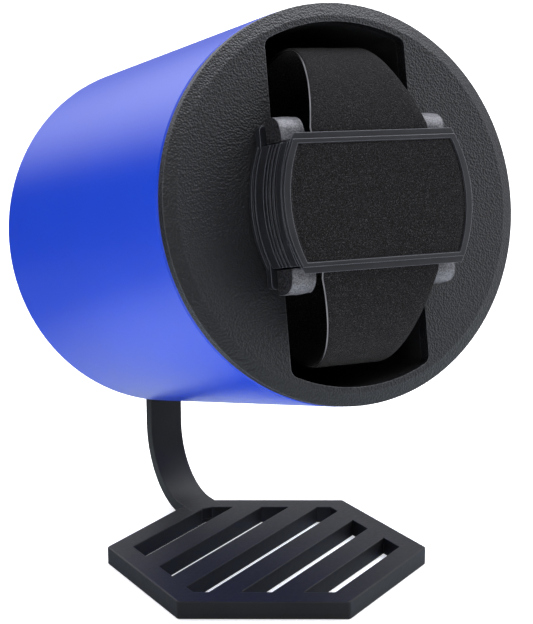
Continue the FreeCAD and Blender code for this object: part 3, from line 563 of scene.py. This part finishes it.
def subdivided(outline, spacing):
    """Outline with extra points so that no edge is longer than the spacing."""
    points = []
    for (y_a, z_a), (y_b, z_b) in zip(outline, outline[1:] + outline[:1]):
        pieces = max(1, math.ceil(math.hypot(y_b - y_a, z_b - z_a) / spacing))
        points += [(y_a + (y_b - y_a) * k / pieces, z_a + (z_b - z_a) * k / pieces) for k in range(pieces)]
    return points


def well_lining():
    """Felt sheet laid on the floor of the well, slightly uneven."""
    half_width, end_radius = 19.6, 44.8
    low, thick, pressed, unevenness = -37.0, 1.0, 0.08, 0.06
    columns, rows = 25, 97
    points = []
    for layer in (0, 1):
        for row in range(rows):
            for column in range(columns):
                x = half_width * (-1 + 2 * column / (columns - 1))
                y = math.sqrt(end_radius ** 2 - x ** 2) * (-1 + 2 * row / (rows - 1))
                wave = unevenness * noise.noise(Vector((x * 0.2, y * 0.2, 9.0)))
                z = low if layer == 0 else low + thick - pressed + wave
                points.append(ROTOR @ (Vector((x, y, z)) * MM))
    faces = slab_faces(rows, columns)
    sheet = add_piece("well_lining_felt", points, faces, FINISHES["felt_black"], "rotor")
    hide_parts("well_lining")


# ---------------------------------------------------------------- stage: floor, light, camera


def stage():
    """Pale floor, a table that only reflections see, a softbox on the left and the surrounding light."""
    floor = flat_square("floor", 9.0, 0.0)
    floor.visible_glossy = False
    floor.data.materials.append(floor_paper())
    table = flat_square("table", 0.30, 0.0005)
    table.visible_camera = False
    table.visible_diffuse = False
    table.visible_shadow = False
    table.data.materials.append(table_paper())
    softbox("softbox_left", (-0.67, -0.56, 0.33), (0.0, 0.0, 0.1), 0.22, 0.30, 1.2)
    studio_light()
    bpy.context.scene.view_settings.view_transform = "Standard"


def floor_paper():
    """Matt white paper, a little mottled, with a glow that lifts it to the backdrop's white."""
    shade, glow = 0.87, 0.55
    surface = Surface("floor_paper")
    dark, light = (shade * 0.99,) * 3, (shade * 1.01,) * 3
    surface.colour(surface.ramp(surface.noise(3.0, detail=2.0), (0.3, dark), (0.7, light)))
    surface.rough(0.9)
    surface.set(Specular_IOR_Level=0.1, Emission_Color=(1.0, 1.0, 1.0, 1.0), Emission_Strength=glow)
    return surface.material


def table_paper():
    """Grey paper that only reflections show: paler in front of the object than behind it."""
    surface = Surface("table_paper")
    split = surface.add("ShaderNodeSeparateXYZ")
    surface.link(surface.place, split.inputs[0])
    behind = surface.spread(split.outputs["Y"], 0.0, 1.0, start=0.07, end=0.17)
    surface.colour(surface.ramp(behind, (0.0, (0.50, 0.56, 0.575)), (1.0, (0.05, 0.06, 0.065))))
    surface.rough(0.9)
    surface.set(Specular_IOR_Level=0.1)
    return surface.material


def softbox(name, place, target, width, height, power):
    """Rectangular area light aimed at a point."""
    light = bpy.data.lights.new(name, "AREA")
    light.shape = "RECTANGLE"
    light.size = width
    light.size_y = height
    light.energy = power
    lamp = bpy.data.objects.new(name, light)
    bpy.context.scene.collection.objects.link(lamp)
    aim = Vector(target) - Vector(place)
    lamp.matrix_world = Matrix.Translation(place) @ aim.to_track_quat("-Z", "Y").to_matrix().to_4x4()


def flat_square(name, half, height):
    """Square of floor centred under the object."""
    mesh = bpy.data.meshes.new(name)
    corners = [(-half, -half, height), (half, -half, height), (half, half, height), (-half, half, height)]
    mesh.from_pydata(corners, [], [(0, 1, 2, 3)])
    square = bpy.data.objects.new(name, mesh)
    bpy.context.scene.collection.objects.link(square)
    return square


LIGHT_LOBES = (
    # direction it comes from, cosine where it starts, cosine where it is full, strength
    ((0.40, -0.05, 0.91), 0.74, 0.97, 5.2),
    ((-0.40, -0.10, 0.91), 0.84, 0.99, 1.8),
    ((-0.10, 0.75, 0.65), 0.77, 0.98, 2.7),
    ((0.89, -0.45, 0.10), 0.78, 1.0, 1.8),
    ((0.47, 0.85, -0.2), 0.80, 1.0, 0.2),
    ((0.0, 0.0, -1.0), 0.3, 0.95, 0.4),
)
LIGHT_EVERYWHERE, LIGHT_COLOUR = 0.02, (0.96, 0.975, 1.03, 1.0)


def light_lobe(tree, place, direction, start, full, strength):
    """Strength that rises smoothly from 0 as a ray turns towards a direction."""
    facing = tree.nodes.new("ShaderNodeVectorMath")
    facing.operation = "DOT_PRODUCT"
    facing.inputs[1].default_value = Vector(direction).normalized()
    tree.links.new(place, facing.inputs[0])
    lobe = tree.nodes.new("ShaderNodeMapRange")
    lobe.interpolation_type = "SMOOTHSTEP"
    lobe.inputs["From Min"].default_value = start
    lobe.inputs["From Max"].default_value = full
    lobe.inputs["To Max"].default_value = strength
    tree.links.new(facing.outputs["Value"], lobe.inputs["Value"])
    return lobe.outputs["Result"]


def studio_light():
    """Surrounding light of broad soft lobes, as large diffusers give, seen as a plain backdrop."""
    world = bpy.data.worlds.new("surroundings")
    bpy.context.scene.world = world
    world.use_nodes = True
    tree = world.node_tree
    place = tree.nodes.new("ShaderNodeTexCoord").outputs["Generated"]
    total = None
    for lobe in LIGHT_LOBES:
        more = tree.nodes.new("ShaderNodeMath")
        more.inputs[1].default_value = LIGHT_EVERYWHERE
        if total is not None:
            tree.links.new(total, more.inputs[1])
        tree.links.new(light_lobe(tree, place, *lobe), more.inputs[0])
        total = more.outputs[0]
    surroundings = tree.nodes["Background"]
    surroundings.inputs["Color"].default_value = LIGHT_COLOUR
    tree.links.new(total, surroundings.inputs["Strength"])
    backdrop = tree.nodes.new("ShaderNodeBackground")
    backdrop.inputs["Color"].default_value = (1.0, 1.0, 1.0, 1.0)
    seen = tree.nodes.new("ShaderNodeMixShader")
    tree.links.new(tree.nodes.new("ShaderNodeLightPath").outputs["Is Camera Ray"], seen.inputs["Fac"])
    tree.links.new(surroundings.outputs[0], seen.inputs[1])
    tree.links.new(backdrop.outputs[0], seen.inputs[2])
    tree.links.new(seen.outputs[0], tree.nodes["World Output"].inputs["Surface"])


def camera():
    """Camera at the reference view: slightly left of the front and a little above."""
    azimuth, elevation, roll = math.radians(-28.95), math.radians(13.68), math.radians(-0.35)
    distance, target = 0.4738, Vector((0.00041, -0.00023, 0.07317))
    back = Vector((math.sin(azimuth) * math.cos(elevation), -math.cos(azimuth) * math.cos(elevation),
                   math.sin(elevation)))
    right = Vector((math.cos(azimuth), math.sin(azimuth), 0))
    up = back.cross(right)
    turned_right = right * math.cos(roll) + up * math.sin(roll)
    turned_up = back.cross(turned_right)
    data = bpy.data.cameras.new("camera")
    data.lens = 100.4
    data.sensor_width = 36.0
    data.clip_start = 0.01
    view = bpy.data.objects.new("camera", data)
    bpy.context.scene.collection.objects.link(view)
    matrix = Matrix((turned_right, turned_up, back)).transposed().to_4x4()
    matrix.translation = target + back * distance
    view.matrix_world = matrix
    bpy.context.scene.camera = view


camera()
finish_nodes()
cuff_band()
cuff_pad()
corner_foams()
well_lining()
stage()
